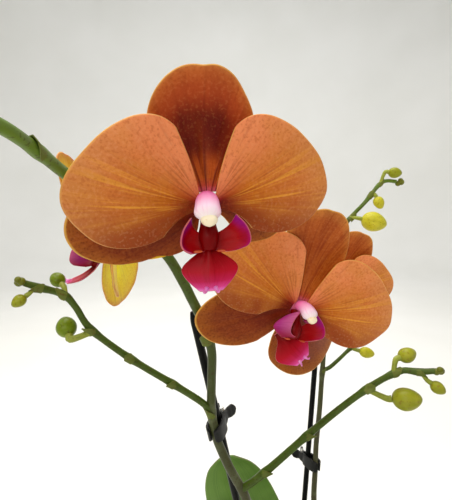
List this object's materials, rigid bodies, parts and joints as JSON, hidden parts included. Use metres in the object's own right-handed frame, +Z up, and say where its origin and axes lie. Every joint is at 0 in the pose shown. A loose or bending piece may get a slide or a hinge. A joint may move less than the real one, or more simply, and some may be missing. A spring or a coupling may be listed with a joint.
{
  "type": "potted moth orchid",
  "caption": "Flowering moth orchid in a plain round pot, its branching flower spikes tied to thin stakes by small spring clips, with buds, strap leaves and loose bark.",
  "frame": {"origin": "centre of the pot's underside", "axes": "+Z up; the flowers face -Y; +X is to the right as a viewer faces the flowers"},
  "size_m": [0.2759, 0.3138, 0.4582],
  "materials": {
    "petal_orange": "satin, soft plant tissue",
    "sepal_rust": "satin, soft plant tissue",
    "lip_crimson": "satin, soft plant tissue",
    "column_pink": "satin, soft plant tissue",
    "stem_green": "satin, fibrous green stem",
    "bud_green": "satin, soft plant tissue",
    "leaf_green": "waxy, fleshy leaf",
    "root_silver": "matte, spongy",
    "bark_brown": "rough loose bark",
    "pot_white": "satin glaze",
    "stake_black": "satin",
    "clip_black": "satin",
    "spring_steel": "bright"
  },
  "bodies": {
    "plant": {"bud_front_1": "bud_green", "bud_left_1": "bud_green", "bud_left_2": "bud_green", "bud_left_3": "bud_green", "bud_rear_1": "bud_green", "bud_rear_2": "bud_green", "bud_rear_3": "bud_green", "bud_rear_branch": "bud_green", "bud_right_1": "bud_green", "bud_right_2": "bud_green", "bud_right_3": "bud_green", "flower_low_column": "column_pink", "flower_low_dorsal_sepal": "sepal_rust", "flower_low_left_petal": "petal_orange", "flower_low_left_sepal": "sepal_rust", "flower_low_lip": "lip_crimson", "flower_low_right_petal": "petal_orange", "flower_low_right_sepal": "sepal_rust", "flower_rear_column": "column_pink", "flower_rear_dorsal_sepal": "sepal_rust", "flower_rear_left_petal": "petal_orange", "flower_rear_left_sepal": "sepal_rust", "flower_rear_lip": "lip_crimson", "flower_rear_right_petal": "petal_orange", "flower_rear_right_sepal": "sepal_rust", "flower_side_column": "column_pink", "flower_side_dorsal_sepal": "sepal_rust", "flower_side_left_petal": "petal_orange", "flower_side_left_sepal": "sepal_rust", "flower_side_lip": "lip_crimson", "flower_side_right_petal": "petal_orange", "flower_side_right_sepal": "sepal_rust", "flower_top_column": "column_pink", "flower_top_dorsal_sepal": "sepal_rust", "flower_top_left_petal": "petal_orange", "flower_top_left_sepal": "sepal_rust", "flower_top_lip": "lip_crimson", "flower_top_right_petal": "petal_orange", "flower_top_right_sepal": "sepal_rust", "front_clip_fixed_jaw": "clip_black", "front_clip_spring_pin": "spring_steel", "front_spike": "stem_green", "front_stake": "stake_black", "leaf_back_left": "leaf_green", "leaf_front": "leaf_green", "leaf_left": "leaf_green", "leaf_right": "leaf_green", "leaf_upright": "leaf_green", "plant_crown": "stem_green", "pot": "pot_white", "potting_bark": "bark_brown", "rear_clip_fixed_jaw": "clip_black", "rear_clip_spring_pin": "spring_steel", "rear_spike": "stem_green", "rear_stake": "stake_black", "root_back": "root_silver", "root_front": "root_silver", "root_over_rim": "root_silver"},
    "front_clip_jaw": {"front_clip_moving_jaw": "clip_black"},
    "rear_clip_jaw": {"rear_clip_moving_jaw": "clip_black"}
  },
  "joints": [
    {"name": "front_clip_opens", "type": "hinge", "parent": "plant", "child": "front_clip_jaw", "pos_m": [-0.05157, -0.04037, 0.30635], "axis": [-0.1846, -0.1484, 0.9715], "range_deg": [0, 30], "stiffness_Nm_per_rad": 0.001, "springref_deg": -57.3},
    {"name": "rear_clip_opens", "type": "hinge", "parent": "plant", "child": "rear_clip_jaw", "pos_m": [0.00938, 0.04512, 0.21987], "axis": [0.0655, 0.0899, 0.9938], "range_deg": [0, 30], "stiffness_Nm_per_rad": 0.001, "springref_deg": -57.3}
  ]
}
